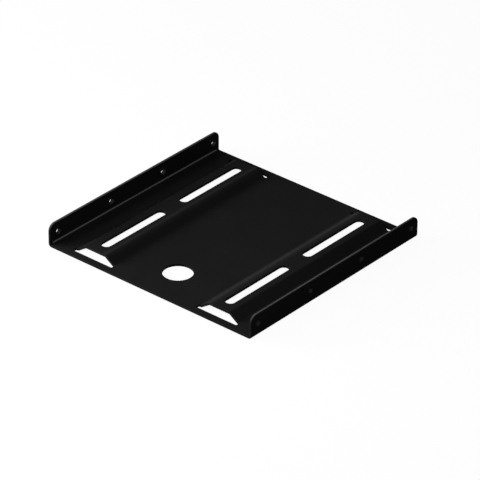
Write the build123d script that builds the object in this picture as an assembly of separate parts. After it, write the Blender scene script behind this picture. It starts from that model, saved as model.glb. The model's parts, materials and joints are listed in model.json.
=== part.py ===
from build123d import *
from build123d.topology import topo_explore_connected_faces

import math
import os

# Drive bay adapter bracket: one folded and lanced sheet of steel with a black coat.
# A flat base is folded up into a flange along each long side. Two raised strips, cut free of
# the sheet at both ends by a slit, carry a small drive on four long slots.
# Millimetres, +Z up, X across the bay, Y from the front edge to the rear edge.
# The origin is on the underside of the base, in the middle of its plan.

# Sheet
sheet_thickness = 1.0
fold_radius = 0.4               # inside of the two flange folds
rim_radius = 0.2                # rounded rims of the sheet's outline, under the coat

# Base and flanges
bracket_width = 101.0           # outside of one flange to outside of the other
bracket_length = 98.0           # front edge to rear edge
flange_height = 9.6             # underside of the base to the top of a flange
flange_corner_radius = 3.0      # both ends of a flange's top edge

# Raised strips, measured on their undersides
strip_spacing = 61.72           # between the two centre lines, as the drive's screw holes are
strip_rise = 2.7                # above the underside of the base
strip_top_width = 9.7           # flat top, between the corners of the bends
strip_foot_width = 17.7         # between the corners of the foot bends
strip_bend_radius = 1.0         # inside of a strip's four bends

# Slits that free the ends of the strips
slit_border = 3.0               # whole sheet between a slit and the edge of the base
slit_width = 2.0
slit_corner_radius = 0.3
slit_flat = 0.1                 # flat sheet between a strip's foot bend and its slit's corner

# Slots for the drive's screws
slot_width = 4.1
slot_end_margin = 4.2           # end of a strip to the end of its slot
slot_web = 10.0                 # sheet between the two slots of a strip

# Round hole near the front edge
hole_diameter = 12.0
hole_setback = 17.0             # front edge to the hole's centre

# Tapped holes for the bay's side screws, each in a collar drawn from the flange to its inside
flange_hole_diameter = 2.5      # minor diameter of the thread
flange_hole_height = 5.5        # above the underside of the base
flange_hole_pitch = 30.0
flange_hole_margin = 3.5        # least distance from a hole's centre to the end of the flange
collar_wall = 0.55
collar_height = 0.6             # above the inside of the flange
collar_chamfer = 0.2            # outer rim of a collar

# Sizes that follow from the ones above
strip_length = bracket_length - 2 * (slit_border + slit_width)
slit_place = (strip_length + slit_width) / 2
strip_slope = math.atan2(strip_rise, (strip_foot_width - strip_top_width) / 2)
foot_bend_run = (strip_bend_radius + sheet_thickness) * math.tan(strip_slope / 2)
slit_length = strip_foot_width + 2 * (foot_bend_run + slit_flat + slit_corner_radius)
slot_length = (strip_length - 2 * slot_end_margin - slot_web) / 2
strip_places = [-strip_spacing / 2, strip_spacing / 2]
cutter_height = 2 * flange_height
square_tolerance = 0.1          # cosine between two faces that still count as square


def sheet_section(corners, bend_radius):
    """Section of a bent sheet in the XZ plane, from the corners of one of its faces.

    The other face is parallel to it, on the left. A bend to the left has its inside on that
    other face, and a bend to the right has it on this one.
    """
    near = [Vector(*corner) for corner in corners]
    runs = [(end - start).normalized() for start, end in zip(near, near[1:])]
    normals = [Vector(-run.Y, run.X) for run in runs]
    mitres = [(one + two) / (1 + one.dot(two)) for one, two in zip(normals, normals[1:])]
    shifts = [normals[0], *mitres, normals[-1]]
    far = [point + shift * sheet_thickness for point, shift in zip(near, shifts)]
    turns_left = [one.cross(two).Z > 0 for one, two in zip(runs, runs[1:])]
    outside_radius = bend_radius + sheet_thickness
    near_radii = [outside_radius if left else bend_radius for left in turns_left]
    far_radii = [bend_radius if left else outside_radius for left in turns_left]
    near_line = FilletPolyline(*near, radius=near_radii)
    far_line = FilletPolyline(*far, radius=far_radii)
    ends = [Line(near_line @ 0, far_line @ 0), Line(near_line @ 1, far_line @ 1)]
    return Plane.XZ * make_face([*near_line.edges(), *far_line.edges(), *ends])


def sheared_rims(sheet):
    """The edges where a wall cut through the sheet meets one of its skins, square to it."""
    rims = ShapeList()
    for edge in sheet.edges():
        middle = edge @ 0.5
        faces = [Face(face) for face in topo_explore_connected_faces(edge, sheet)]
        normals = [face.normal_at(middle) for face in faces]
        if abs(normals[0].dot(normals[-1])) < square_tolerance:
            rims.append(edge)
    return rims


def folded_channel():
    """The base with its two flanges, full length, with rounded top corners and outer rims."""
    half_width = bracket_width / 2
    corners = [
        (-half_width, flange_height),
        (-half_width, 0),
        (half_width, 0),
        (half_width, flange_height),
    ]
    channel = extrude(sheet_section(corners, fold_radius), bracket_length / 2, both=True)
    top_corners = channel.edges().filter_by(Axis.X).group_by(Axis.Z)[-1]
    channel = fillet(top_corners, flange_corner_radius)
    return fillet(sheared_rims(channel), rim_radius)


def raised_strip():
    """One strip about x = 0, up over its top and down again, into the middle of its slits."""
    foot = strip_foot_width / 2
    top = strip_top_width / 2
    end = slit_length / 2
    corners = [(-end, 0), (-foot, 0), (-top, strip_rise), (top, strip_rise), (foot, 0), (end, 0)]
    return extrude(sheet_section(corners, strip_bend_radius), slit_place, both=True)


def strip_window():
    """The flat sheet that a strip is raised from, about x = 0."""
    return Box(slit_length, 2 * slit_place, cutter_height)


def strip_slits():
    """Cutters for the slits that free both ends of both strips."""
    outline = RectangleRounded(slit_length, slit_width, slit_corner_radius)
    slit = extrude(outline, cutter_height, both=True)
    return [Pos(x, y, 0) * slit for x in strip_places for y in (-slit_place, slit_place)]


def drive_slots():
    """Cutters for the four slots, two along each strip."""
    slot = extrude(SlotOverall(slot_length, slot_width, rotation=90), cutter_height, both=True)
    centre = (slot_web + slot_length) / 2
    return [Pos(x, y, 0) * slot for x in strip_places for y in (-centre, centre)]


def round_hole():
    """Cutter for the round hole in the middle of the base."""
    centre_y = hole_setback - bracket_length / 2
    return Pos(0, centre_y, 0) * Cylinder(hole_diameter / 2, cutter_height)


def flange_hole_places():
    """Places of the flange holes along the bracket, evenly about y = 0."""
    gaps = int((bracket_length - 2 * flange_hole_margin) / flange_hole_pitch)
    first = -gaps * flange_hole_pitch / 2
    return [first + n * flange_hole_pitch for n in range(gaps + 1)]


def hole_collars():
    """The collars of the flange holes, solid, from the middle of a flange's sheet to its inside."""
    collar_length = sheet_thickness / 2 + collar_height
    collar = extrude(Circle(flange_hole_diameter / 2 + collar_wall), collar_length)
    collar = chamfer(collar.edges().group_by(Axis.Z)[-1], collar_chamfer)
    middle = (bracket_width - sheet_thickness) / 2
    return [
        Pos(side * middle, y, flange_hole_height) * Rot(0, -90 * side, 0) * collar
        for side in (-1, 1)
        for y in flange_hole_places()
    ]


def flange_holes():
    """Cutters for the flange holes, each one through both flanges."""
    drill = Rot(0, 90, 0) * Cylinder(flange_hole_diameter / 2, 2 * bracket_width)
    return [Pos(0, y, flange_hole_height) * drill for y in flange_hole_places()]


def adapter_bracket():
    """The whole bracket as one solid."""
    sheet = folded_channel()
    for collar in hole_collars():
        sheet += collar
    for x in strip_places:
        sheet -= Pos(x, 0, 0) * strip_window()
        sheet += Pos(x, 0, 0) * raised_strip()
    for cutter in [*strip_slits(), *drive_slots(), round_hole(), *flange_holes()]:
        sheet -= cutter
    return sheet


os.makedirs("parts", exist_ok=True)
bracket = adapter_bracket()
bracket.label = "adapter_bracket"
export_step(bracket, "parts/adapter_bracket.step")
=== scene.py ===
import json
from typing import NamedTuple

import bpy
import numpy as np
from mathutils import Matrix, Vector


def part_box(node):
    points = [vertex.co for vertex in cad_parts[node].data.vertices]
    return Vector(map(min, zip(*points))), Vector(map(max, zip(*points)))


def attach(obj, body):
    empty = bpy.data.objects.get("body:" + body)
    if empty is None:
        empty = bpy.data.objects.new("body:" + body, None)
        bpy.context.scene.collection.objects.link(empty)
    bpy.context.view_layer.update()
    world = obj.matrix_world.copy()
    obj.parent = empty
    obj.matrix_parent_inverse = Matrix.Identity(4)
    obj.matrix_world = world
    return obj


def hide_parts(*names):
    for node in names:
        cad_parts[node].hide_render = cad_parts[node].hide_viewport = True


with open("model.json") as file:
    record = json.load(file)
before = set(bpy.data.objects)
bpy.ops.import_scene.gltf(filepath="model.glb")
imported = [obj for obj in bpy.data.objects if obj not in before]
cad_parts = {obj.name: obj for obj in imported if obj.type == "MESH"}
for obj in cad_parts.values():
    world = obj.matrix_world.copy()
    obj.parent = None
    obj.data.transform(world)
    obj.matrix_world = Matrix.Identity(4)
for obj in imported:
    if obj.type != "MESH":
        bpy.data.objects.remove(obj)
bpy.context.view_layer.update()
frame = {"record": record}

MM = 0.001

# The bracket's sizes, in millimetres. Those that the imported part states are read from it.
low, high = (np.round(np.array(corner) / MM, 3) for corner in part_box("adapter_bracket"))
bracket_width, bracket_length, flange_height = high - low
mounts = {mount["name"]: mount for mount in frame["record"]["mounts"]}
strip_mount = mounts["drive_slots_right"]
bay_mounts = [mounts["bay_holes_right_front"], mounts["bay_holes_right_rear"]]

# Sheet
sheet_thickness = 1.0
half_sheet = sheet_thickness / 2
fold_radius = 0.4               # inside of a flange fold
flange_corner_radius = 3.0
outline_rim = 0.2               # rounded rims under the coat
opening_rim = 0.03

# Flanges, on the sheet's middle surface. Places across the sheet are measured along it.
fold_bend = fold_radius + half_sheet
fold_start = bracket_width / 2 - sheet_thickness - fold_radius
flange_foot = fold_start + fold_bend * np.pi / 2
flange_base = half_sheet + fold_bend
flange_top = flange_foot + flange_height - flange_base
sheet_end = bracket_length / 2

# Raised strips, on the middle surface
strip_place, _, strip_top = np.array(strip_mount["pos_m"]) / MM
strip_rise = strip_top - half_sheet
strip_top_width = 9.7
strip_foot_width = 17.7
strip_bend_radius = 1.0         # inside of a strip's bends
strip_bend = strip_bend_radius + half_sheet
strip_slope = np.arctan2(strip_rise, (strip_foot_width - strip_top_width) / 2)
bend_run = strip_bend * np.sin(strip_slope)
corner_shift = half_sheet * np.tan(strip_slope / 2)
corner_run = strip_bend * np.tan(strip_slope / 2)
crest_start = strip_top_width / 2 + corner_shift - corner_run
toe_end = strip_foot_width / 2 + corner_shift + corner_run

# Slits
slit_border = 3.0
slit_width = 2.0
slit_corner_radius = 0.3
slit_flat = 0.1
slit_place = sheet_end - slit_border - slit_width / 2
slit_reach = toe_end + slit_flat + slit_corner_radius

# Slots
slot_radius = strip_mount["dims"]["hole_r_mm"]
slot_reach = strip_mount["dims"]["slot_length_mm"] / 2
slot_place = strip_mount["dims"]["spacing_y_mm"] / 2

# Round hole
hole_radius = 6.0
hole_setback = 17.0             # front edge to the hole's centre
hole_place = hole_setback - sheet_end

# Tapped holes in the flanges, each in a collar
tapped_radius = bay_mounts[0]["dims"]["hole_r_mm"]
tapped_height = bay_mounts[0]["pos_m"][2] / MM
tapped_across = flange_foot + tapped_height - flange_base
tapped_places = [
    mount["pos_m"][1] / MM + end * mount["dims"]["spacing_x_mm"] / 2
    for mount in bay_mounts
    for end in (-1, 1)
]
thread_pitch = 0.5
thread_depth = 0.25
thread_runout = 0.08
collar_wall = 0.55
collar_height = 0.6             # above the inside of the flange
collar_rim = 0.2                # outer rim of a collar, and its foot on the flange

# How pale the coat is, from 0 to 1: thinner in the threads, and painted highlights on the flange
# tops, in the folds and along the strips' inner crests
# painted highlight along the rims of the outline, most on the flange tops
flange_top_highlight = 0.26
# painted highlight up the inside of each fold, and how narrow it is
fold_highlight = 1.0
fold_highlight_power = 14
thread_thinness = 0.04
# painted highlight along the inner crests of the strips
crest_highlight_strength = 0.042
crest_highlight_line = 4.8                # off a strip's centre line, on the inner side
crest_highlight_reach = 1.8

# Blocks of the grid that the openings stand in, as half widths across and along the sheet
slot_margin, slot_end_margin = 1.1, 1.0
hole_margin = 2.8
slit_margin = 0.75
slot_block = (slot_radius + slot_margin, slot_reach + slot_end_margin)
hole_block = (hole_radius + hole_margin, hole_radius + hole_margin)
tapped_block = (2.45, 2.45)
slit_block = (slit_reach + slit_margin, tapped_block[1])
outline_inset = 1.4

# Widest cells of the grid across the sheet, and along it
base_step = 2.0
hole_step = 1.5
slit_step = 0.4
bend_step = 0.2
strip_wall_step = 1.1
strip_top_step = 0.7
slot_step = 0.65
fold_step = 0.21
flange_step = 0.7
tapped_step = 0.37
flange_top_step = 0.5
step_along = 0.8
tapped_step_along = 0.5
cell_slack = 1e-6               # of a cell, for rounding
place_decimals = 6

# Patches: the rows on the skin round a wall, the last one close to its rim, and the cells
skin_shares = (1, 0.5, 0.05)
hold = 0.05                     # from the end of a bend to the line that keeps the flat flat
rim_cells = 4
wall_cells = 2
thread_cells = 28
weld_distance = 1e-5

# Black coat: linear greys and lengths in metres
coat_greys = (0.0088, 0.0102)
# pale grey of the thin coat in the threads and of the painted highlights
thin_coat_and_highlight_grey = 0.2
coat_specular = 0.0012
coat_roughness = (0.26, 0.34)
cloud_scale = 70
cloud_detail = 3
cloud_range = (0.3, 0.7)
peel_scale = 1800
peel_detail = 1
peel_strength = 0.1
peel_depth = 0.00003

# Studio: lengths in metres
floor_reach = 6.0
floor_height = -0.00005
floor_white = 0.95              # share of plain white in the floor, and the rest takes shadow
floor_tone = 0.9
floor_bounce = 0.1
world_light = 0.1

# Camera, from the places of the bracket's corners and openings in the photograph
camera_azimuth = 40.228
camera_elevation = 30.835
camera_roll = -0.548
camera_distance = 1.501844
camera_lens = 295.857
camera_sensor = 36
origin_right = -0.002505        # of the optical axis
origin_down = 0.000623


def bend_fall(run):
    """How far the middle surface has fallen, a run past the start of a strip's bend.

    It follows the circle of the bend until it has turned to the slope of the strip's wall, and
    then goes straight on.
    """
    on_circle = np.clip(run, 0, bend_run)
    past = np.maximum(run - bend_run, 0)
    return strip_bend - np.sqrt(strip_bend**2 - on_circle**2) + past * np.tan(strip_slope)


def strip_shape(off):
    """Height and slope of a strip's middle surface, a distance off its centre line.

    The inner half falls from the flat top and the outer half rises from the flat base, so that
    they meet in the middle of the wall. The sine of the slope grows evenly through a bend, as on
    any circle.
    """
    from_crest = off - crest_start
    from_toe = toe_end - off
    inner = from_crest < from_toe
    height = np.where(inner, strip_rise - bend_fall(from_crest), bend_fall(from_toe))
    sine = np.clip(np.minimum(from_crest, from_toe) / strip_bend, 0, np.sin(strip_slope))
    return height, np.arcsin(sine)


def fold_turn(s):
    """Angle that a fold has turned, at places across the sheet."""
    return np.clip((np.abs(s) - fold_start) / fold_bend, 0, np.pi / 2)


def middle_surface(s, y):
    """Points of the sheet's middle surface, and its normals on the inner side.

    s runs across the sheet, from the top of the left flange to the top of the right one, and y
    along it. On the base s is x, and the height is that of the strips, between their slits. In a
    fold the surface turns a quarter circle, and in a flange it goes straight up.
    """
    side = np.sign(s)
    flat = np.minimum(np.abs(s), fold_start)
    turn = fold_turn(s)
    upright = np.maximum(np.abs(s) - flange_foot, 0)
    height, slope = strip_shape(np.abs(flat - strip_place))
    raised = np.abs(y) < slit_place
    angle = turn + np.where(raised, np.sign(strip_place - flat) * slope, 0)
    x = side * (flat + fold_bend * np.sin(turn))
    z = half_sheet + np.where(raised, height, 0) + fold_bend * (1 - np.cos(turn)) + upright
    level = np.zeros_like(x)
    points = np.stack([x, y, z], axis=-1)
    normals = np.stack([-side * np.sin(angle), level, np.cos(angle)], axis=-1)
    return points, normals


class Patch(NamedTuple):
    """Part of the sheet's surface: points, how pale the coat is there from thin coat and painted
    highlights, and quads of points.
    """

    points: np.ndarray
    thin_and_highlight: np.ndarray
    quads: np.ndarray


class Wall(NamedTuple):
    """A wall cut through the sheet, at one distance round a core: a rectangle, line or point."""

    centre: tuple
    core: tuple
    radius: float
    block: tuple
    rim: float = opening_rim
    # how pale the coat is at the rim: thin in the tapped holes, a painted highlight round the
    # outline
    thin_and_highlight: float = 0
    cells: int = wall_cells
    collared: bool = False


def graded(stops, steps):
    """Grid lines through all stops, with the runs between them cut into cells of at most a step."""
    stops = np.array(stops)
    cells = np.ceil(np.diff(stops) / steps - cell_slack).astype(int)
    runs = [np.linspace(a, b, n, endpoint=False) for a, b, n in zip(stops, stops[1:], cells)]
    return np.concatenate([*runs, stops[-1:]])


def both_sides(lines):
    """Lines from zero up, with the same lines below zero."""
    return np.concatenate([-lines[:0:-1], lines])


def held(start, end):
    """Stops at both ends of a bend, with one more close outside each end, to keep flats flat."""
    return start - hold, start, end, end + hold


def lines_across():
    """Grid lines across the sheet: fine in the strips' bends, the folds and round the openings."""
    crest = held(crest_start, crest_start + bend_run)
    toe = held(toe_end - bend_run, toe_end)
    fold = held(fold_start, flange_foot)
    bend_steps = [hold, bend_step, hold]
    strip = graded(
        [0, slot_block[0], *crest, *toe, slit_block[0]],
        [slot_step, strip_top_step, *bend_steps, strip_wall_step, *bend_steps, slit_step],
    )
    inner = graded([0, hole_block[0], strip_place - slit_block[0]], [hole_step, base_step])
    outer = graded(
        [
            strip_place + slit_block[0],
            *fold,
            tapped_across - tapped_block[0],
            tapped_across + tapped_block[0],
            flange_top - outline_inset,
        ],
        [base_step, hold, fold_step, hold, flange_step, tapped_step, flange_top_step],
    )
    return both_sides(np.concatenate([inner[:-1], strip_place + both_sides(strip), outer[1:]]))


def lines_along():
    """Grid lines along the sheet: finer beside the tapped holes."""
    slot_start = slot_place - slot_block[1]
    slot_end = slot_place + slot_block[1]
    hole_edges = np.abs(hole_place) + np.array([-1, 1]) * hole_block[1]
    tapped_edges = [abs(y) + end * tapped_block[1] for y in tapped_places[2:] for end in (-1, 1)]
    last = sheet_end - outline_inset
    stops = [0, slot_start, slot_end, *hole_edges, *tapped_edges, last]
    stops = np.unique(np.round(stops, place_decimals))
    beside_hole = np.isin(stops[:-1], np.round(tapped_edges[::2], place_decimals))
    return both_sides(graded(stops, np.where(beside_hole, tapped_step_along, step_along)))


def block_border(across, along, centre, block):
    """The grid points round a block, counterclockwise from its lower left, and its index ranges."""
    ends = np.array([-1, 1])
    left, right = np.searchsorted(across, centre[0] + ends * block[0] - weld_distance)
    front, rear = np.searchsorted(along, centre[1] + ends * block[1] - weld_distance)
    wide, deep = right - left, rear - front
    s = [
        across[left:right],
        np.full(deep, across[right]),
        across[right:left:-1],
        np.full(deep, across[left]),
    ]
    y = [
        np.full(wide, along[front]),
        along[front:rear],
        np.full(wide, along[rear]),
        along[rear:front:-1],
    ]
    border = np.stack([np.concatenate(s), np.concatenate(y)], axis=-1)
    return border, (slice(front, rear), slice(left, right))


def quads_of(index):
    """The quads between neighbours in a grid of point numbers."""
    corners = [index[:-1, :-1], index[:-1, 1:], index[1:, 1:], index[1:, :-1]]
    return np.stack(corners, axis=-1)


def crest_highlight(s, y):
    """The painted highlight along the inner crests of the strips, as a share of pale coat.

    It is most at a line and falls evenly to nothing on both sides of it.
    """
    off = strip_place - np.abs(s)
    share = np.clip(1 - np.abs(off - crest_highlight_line) / crest_highlight_reach, 0, 1)
    return crest_highlight_strength * share * (np.abs(y) < slit_place)


def skin_patch(across, along, kept, upper):
    """One skin of the sheet: half its thickness above or below the middle surface, at kept cells.

    A highlight is painted up the inside of each fold, as paler coat that grows as a power of the
    sine of the angle turned, as far as the foot of the flange. Another is painted along the inner
    crests of the strips.
    """
    s, y = np.meshgrid(across, along)
    points, normals = middle_surface(s, y)
    side = 1 if upper else -1
    in_fold = np.abs(s) < flange_foot + 2 * hold
    fold_painted_highlight = in_fold * fold_highlight * np.sin(fold_turn(s)) ** fold_highlight_power
    quads = quads_of(np.arange(s.size).reshape(s.shape))[kept][:, ::side]
    thin_and_highlight = upper * (fold_painted_highlight + crest_highlight(s, y))
    return Patch(points + side * half_sheet * normals, thin_and_highlight, quads)


def wall_rows(wall):
    """Rows from the upper skin over a rim, down a wall and round the other rim to the lower skin.

    Each row has its share of the way to the patch's border, its distance off the wall and its
    height over the middle surface. A rim is a quarter circle. A collar rises from the upper skin
    with a hollow quarter circle at its foot and a round one at its outer rim, and the wall's own
    rim is at the collar's top.
    """
    skin = np.array(skin_shares)
    quarter = np.linspace(0, np.pi / 2, rim_cells + 1)
    rising, falling = 1 - np.cos(quarter), 1 - np.sin(quarter)
    top, foot = half_sheet, wall.rim
    collar_off, collar_up = [], []
    if wall.collared:
        top, foot = half_sheet + collar_height, collar_wall + collar_rim
        ring = np.array([collar_wall - collar_rim - hold, wall.rim + hold])
        collar_off = [collar_wall + collar_rim * falling, collar_wall - collar_rim * rising, ring]
        collar_up = [half_sheet + collar_rim * rising, top - collar_rim * falling, top + 0 * ring]
    down = np.linspace(top - wall.rim, wall.rim - half_sheet, wall.cells + 1)[1:-1]
    off = [foot + 0 * skin, *collar_off, wall.rim * falling, 0 * down]
    off += [wall.rim * rising, wall.rim + 0 * skin]
    up = [half_sheet + 0 * skin, *collar_up, top - wall.rim * rising, down]
    up += [wall.rim * falling - half_sheet, -half_sheet + 0 * skin]
    off, up = np.concatenate(off), np.concatenate(up)
    share = np.concatenate([skin, np.zeros(len(off) - 2 * len(skin)), skin[::-1]])
    return share, off, up


def thread_groove(down, away):
    """Depth of the thread's groove at heights down a wall: a wave that climbs one pitch a turn.

    It runs out at both ends of the wall.
    """
    turns = np.arctan2(away[:, 1], away[:, 0]) / (2 * np.pi)
    phase = down[:, None] / thread_pitch - turns
    wave = np.abs(2 * (phase % 1) - 1)
    runout = np.clip(np.minimum(down[0] - down, down - down[-1]) / thread_runout, 0, 1)
    return thread_depth * wave * runout[:, None]


def wall_patch(border, wall, facing):
    """The sheet between a border of grid points and a wall, from one skin to the other.

    A border point and the point of the core nearest to it give a direction, square to the wall.
    Each row of the patch lies along those directions, at its own distance from the core and height
    in the sheet. Facing is 1 where the wall faces its core, as in an opening, and -1 round the
    outline. The coat is paler over the rim, towards the wall: thinner in the tapped holes, and with
    a painted highlight round the outline, most where the wall runs along the sheet, and not as far
    as the outer skin. On the crests of the strips the painted highlight is as strong as on the skin
    beside the patch, down to the middle of the sheet.
    """
    core = np.array(wall.core)
    near = wall.centre + np.clip(border - wall.centre, -core, core)
    reach = np.linalg.norm(border - near, axis=-1)
    away = (border - near) / reach[:, None]
    share, off, up = wall_rows(wall)
    edge = (wall.radius + facing * off)[:, None]
    distance = edge + share[:, None] * (reach - edge)
    if wall.collared:
        on_wall = off == 0
        distance[on_wall] += thread_groove(up[on_wall], away)
    plan = near + distance[..., None] * away
    plan[[0, -1]] = border
    points, normals = middle_surface(plan[..., 0], plan[..., 1])
    index = np.arange(distance.size).reshape(distance.shape)
    quads = quads_of(np.concatenate([index, index[:, :1]], axis=1)).reshape(-1, 4)
    # Paler coat at the rims: thin in the tapped holes, a painted highlight round the outline and on
    # the crests
    thin_and_highlight = wall.thin_and_highlight * np.clip(1 - off / wall.rim, 0, 1)[:, None] * np.ones(len(border))
    if not wall.collared:
        thin_and_highlight = thin_and_highlight * np.clip(1 + up / half_sheet, 0, 1)[:, None] * away[:, 0] ** 2
    thin_and_highlight = thin_and_highlight + np.clip(up / half_sheet, 0, 1)[:, None] * crest_highlight(plan[..., 0], plan[..., 1])
    return Patch(points + up[:, None, None] * normals, thin_and_highlight, quads)


def openings():
    """The walls of all openings: the round hole, and each side's slits, slots and tapped holes."""
    slit_core = (slit_reach - slit_corner_radius, slit_width / 2 - slit_corner_radius)
    slot_core = (0, slot_reach - slot_radius)
    point = (0, 0)
    tapped = Wall(
        point,
        point,
        tapped_radius,
        tapped_block,
        thin_and_highlight=thread_thinness,
        cells=thread_cells,
        collared=True,
    )
    walls = [Wall((0, hole_place), point, hole_radius, hole_block)]
    for side in (-1, 1):
        for end in (-1, 1):
            slit_centre = (side * strip_place, end * slit_place)
            slot_centre = (side * strip_place, end * slot_place)
            walls.append(Wall(slit_centre, slit_core, slit_corner_radius, slit_block))
            walls.append(Wall(slot_centre, slot_core, slot_radius, slot_block))
        walls += [tapped._replace(centre=(side * tapped_across, y)) for y in tapped_places]
    return walls


def sheet_outline(block):
    """The wall round the whole sheet, with the rounded corners of the flanges and a painted
    highlight along its rims.
    """
    core = (flange_top - flange_corner_radius, sheet_end - flange_corner_radius)
    return Wall((0, 0), core, flange_corner_radius, block, outline_rim, flange_top_highlight)


def sheet_patches():
    """All patches of the bracket's surface: both skins, and the walls of openings and outline."""
    across, along = lines_across(), lines_along()
    kept = np.ones((len(along) - 1, len(across) - 1), bool)
    patches = []
    for wall in openings():
        border, cells = block_border(across, along, wall.centre, wall.block)
        kept[cells] = False
        patches.append(wall_patch(border, wall, 1))
    outline = sheet_outline((across[-1], along[-1]))
    border, _ = block_border(across, along, outline.centre, outline.block)
    patches.append(wall_patch(border[::-1], outline, -1))
    patches += [skin_patch(across, along, kept, upper) for upper in (True, False)]
    return patches


def welded(patches):
    """One patch of all: points at the same place become one, and unused points are dropped."""
    starts = np.cumsum([0, *(patch.thin_and_highlight.size for patch in patches)])
    points = np.concatenate([patch.points.reshape(-1, 3) for patch in patches])
    thin_and_highlight = np.concatenate([patch.thin_and_highlight.ravel() for patch in patches])
    quads = np.concatenate([patch.quads + start for patch, start in zip(patches, starts)])
    places = np.round(points / weld_distance).astype(np.int64)
    _, first, place = np.unique(places, axis=0, return_index=True, return_inverse=True)
    used, quads = np.unique(first[place.ravel()][quads], return_inverse=True)
    return Patch(points[used], thin_and_highlight[used], quads.reshape(-1, 4))


def bracket_sheet():
    """The bracket as one closed mesh."""
    sheet = welded(sheet_patches())
    mesh = bpy.data.meshes.new("bracket_sheet")
    mesh.from_pydata((sheet.points * MM).tolist(), [], sheet.quads.tolist())
    mesh.polygons.foreach_set("use_smooth", np.ones(len(sheet.quads), bool))
    # share of pale coat: thin in the threads, painted highlights on rims, folds and crests
    thin_and_highlight = mesh.attributes.new("thin_coat", "FLOAT", "POINT")
    thin_and_highlight.data.foreach_set("value", sheet.thin_and_highlight.astype(np.float32))
    return bpy.data.objects.new("bracket_sheet", mesh)


def grey(level):
    """A grey colour, opaque."""
    return level, level, level, 1


def noise(tree, place, scale, detail):
    """Noise over the object's own coordinates."""
    texture = tree.nodes.new("ShaderNodeTexNoise")
    texture.inputs["Scale"].default_value = scale
    texture.inputs["Detail"].default_value = detail
    tree.links.new(place.outputs["Object"], texture.inputs["Vector"])
    return texture.outputs["Fac"]


def coat_colour(tree, cloud):
    """Near black with a faint cloudiness, paler where the coat is thin in the threads, and with
    painted highlights.
    """
    tone = tree.nodes.new("ShaderNodeValToRGB")
    for element, position, level in zip(tone.color_ramp.elements, cloud_range, coat_greys):
        element.position = position
        element.color = grey(level)
    tree.links.new(cloud, tone.inputs["Fac"])
    thin_and_highlight = tree.nodes.new("ShaderNodeAttribute")
    thin_and_highlight.attribute_name = "thin_coat"
    highlight_and_thin_mix = tree.nodes.new("ShaderNodeMix")
    highlight_and_thin_mix.data_type = "RGBA"
    highlight_and_thin_mix.inputs["B"].default_value = grey(thin_coat_and_highlight_grey)
    tree.links.new(thin_and_highlight.outputs["Fac"], highlight_and_thin_mix.inputs["Factor"])
    tree.links.new(tone.outputs["Color"], highlight_and_thin_mix.inputs["A"])
    return highlight_and_thin_mix.outputs["Result"]


def black_coat():
    """Satin black powder coat, with a fine peel."""
    material = bpy.data.materials.new("black_coat")
    material.use_nodes = True
    tree = material.node_tree
    shader = tree.nodes["Principled BSDF"]
    shader.inputs["Specular IOR Level"].default_value = coat_specular
    place = tree.nodes.new("ShaderNodeTexCoord")
    cloud = noise(tree, place, cloud_scale, cloud_detail)
    tree.links.new(coat_colour(tree, cloud), shader.inputs["Base Color"])

    gloss = tree.nodes.new("ShaderNodeMapRange")
    gloss.inputs["To Min"].default_value, gloss.inputs["To Max"].default_value = coat_roughness
    tree.links.new(cloud, gloss.inputs["Value"])
    tree.links.new(gloss.outputs["Result"], shader.inputs["Roughness"])

    peel = noise(tree, place, peel_scale, peel_detail)
    bump = tree.nodes.new("ShaderNodeBump")
    bump.inputs["Strength"].default_value = peel_strength
    bump.inputs["Distance"].default_value = peel_depth
    tree.links.new(peel, bump.inputs["Height"])
    tree.links.new(bump.outputs["Normal"], shader.inputs["Normal"])
    return material


def seen_directly(tree):
    """A socket that is 1 for rays from the camera, a reflection or a clear surface, and else 0."""
    path = tree.nodes.new("ShaderNodeLightPath")
    either = tree.nodes.new("ShaderNodeMath")
    either.operation = "MAXIMUM"
    tree.links.new(path.outputs["Is Camera Ray"], either.inputs[0])
    tree.links.new(path.outputs["Is Glossy Ray"], either.inputs[1])
    any_of_all = tree.nodes.new("ShaderNodeMath")
    any_of_all.operation = "MAXIMUM"
    tree.links.new(either.outputs["Value"], any_of_all.inputs[0])
    tree.links.new(path.outputs["Is Transmission Ray"], any_of_all.inputs[1])
    return any_of_all.outputs["Value"]


def mixed(tree, share, one, two):
    """A mix of two shaders, by a share that is a number or a socket."""
    mix = tree.nodes.new("ShaderNodeMixShader")
    if isinstance(share, float):
        mix.inputs["Fac"].default_value = share
    else:
        tree.links.new(share, mix.inputs["Fac"])
    tree.links.new(one, mix.inputs[1])
    tree.links.new(two, mix.inputs[2])
    return mix.outputs["Shader"]


def matt(tree, level):
    """A matt grey shader."""
    shader = tree.nodes.new("ShaderNodeBsdfDiffuse")
    shader.inputs["Color"].default_value = grey(level)
    return shader.outputs["BSDF"]


def floor_finish():
    """White floor with a soft shadow where it is seen, and grey where it lights the bracket."""
    material = bpy.data.materials.new("floor_finish")
    material.use_nodes = True
    tree = material.node_tree
    tree.nodes.remove(tree.nodes["Principled BSDF"])
    white = tree.nodes.new("ShaderNodeEmission")
    white.inputs["Color"].default_value = grey(1)
    pale = mixed(tree, floor_white, matt(tree, floor_tone), white.outputs["Emission"])
    floor = mixed(tree, seen_directly(tree), matt(tree, floor_bounce), pale)
    tree.links.new(floor, tree.nodes["Material Output"].inputs["Surface"])
    return material


def studio_floor():
    """Flat square floor just under the bracket, wide enough for every view."""
    corners = np.array([(-1, -1, 0), (1, -1, 0), (1, 1, 0), (-1, 1, 0)]) * floor_reach
    corners[:, 2] = floor_height
    mesh = bpy.data.meshes.new("studio_floor")
    mesh.from_pydata(corners.tolist(), [], [(0, 1, 2, 3)])
    mesh.materials.append(floor_finish())
    floor = bpy.data.objects.new("studio_floor", mesh)
    bpy.context.scene.collection.objects.link(floor)


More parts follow.
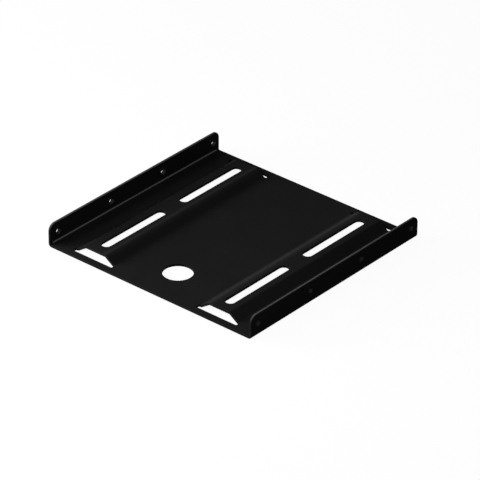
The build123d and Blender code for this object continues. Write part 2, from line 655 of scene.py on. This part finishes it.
def studio_world():
    """Even grey light from all round, and white where it is seen."""
    world = bpy.data.worlds.new("studio_world")
    world.use_nodes = True
    tree = world.node_tree
    dim = tree.nodes["Background"]
    dim.inputs["Color"].default_value = grey(1)
    dim.inputs["Strength"].default_value = world_light
    white = tree.nodes.new("ShaderNodeBackground")
    white.inputs["Color"].default_value = grey(1)
    light = mixed(
        tree, seen_directly(tree), dim.outputs["Background"], white.outputs["Background"]
    )
    tree.links.new(light, tree.nodes["World Output"].inputs["Surface"])
    bpy.context.scene.world = world


def softbox(name, direction, distance, size, light):
    """Square lamp that faces the bracket.

    Light is what it gives a surface that faces it, where 1 shows white as white.
    """
    lamp = bpy.data.lights.new(name, "AREA")
    lamp.size = size
    lamp.energy = light * (np.pi * distance) ** 2
    place = Vector(direction).normalized()
    facing = place.to_track_quat("Z", "Y").to_matrix().to_4x4()
    box = bpy.data.objects.new(name, lamp)
    box.matrix_world = Matrix.Translation(place * distance) @ facing
    bpy.context.scene.collection.objects.link(box)


def photo_camera():
    """Camera that looks down on the bracket from its front right, a little turned about its axis.

    Its three directions come from the azimuth and elevation of its place, and then the roll turns
    two of them about the third.
    """
    azimuth, elevation, roll = np.radians([camera_azimuth, camera_elevation, camera_roll])
    level = np.array([np.cos(azimuth), np.sin(azimuth), 0])
    forward = np.array([-np.sin(azimuth), np.cos(azimuth), 0])
    back = np.sin(elevation) * np.array([0, 0, 1]) - np.cos(elevation) * forward
    plumb = np.cross(level, back)
    right = np.cos(roll) * level + np.sin(roll) * plumb
    down = np.cos(roll) * plumb - np.sin(roll) * level
    place = camera_distance * back - origin_right * right - origin_down * down
    data = bpy.data.cameras.new("photo_camera")
    data.lens = camera_lens
    data.sensor_width = camera_sensor
    camera = bpy.data.objects.new("photo_camera", data)
    turned = np.eye(4)
    turned[:3] = np.stack([right, -down, back, place], axis=1)
    camera.matrix_world = Matrix(turned.tolist())
    bpy.context.scene.collection.objects.link(camera)
    bpy.context.scene.camera = camera


bracket = bracket_sheet()
bracket.data.materials.append(black_coat())
bpy.context.scene.collection.objects.link(bracket)
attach(bracket, "root")
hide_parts("adapter_bracket")

studio_floor()
studio_world()
softbox("key_softbox", (-0.86, -0.44, 0.25), distance=0.53, size=0.2, light=1.5)
softbox("low_softbox", (-0.71, -0.67, 0.19), distance=0.3, size=0.08, light=0.75)
softbox("front_softbox", (-0.44, -0.66, 0.61), distance=0.58, size=0.14, light=0.29)
softbox("top_softbox", (0.4, -0.4, 0.83), distance=0.22, size=0.2, light=0.45)
photo_camera()
bpy.context.scene.view_settings.view_transform = "Standard"
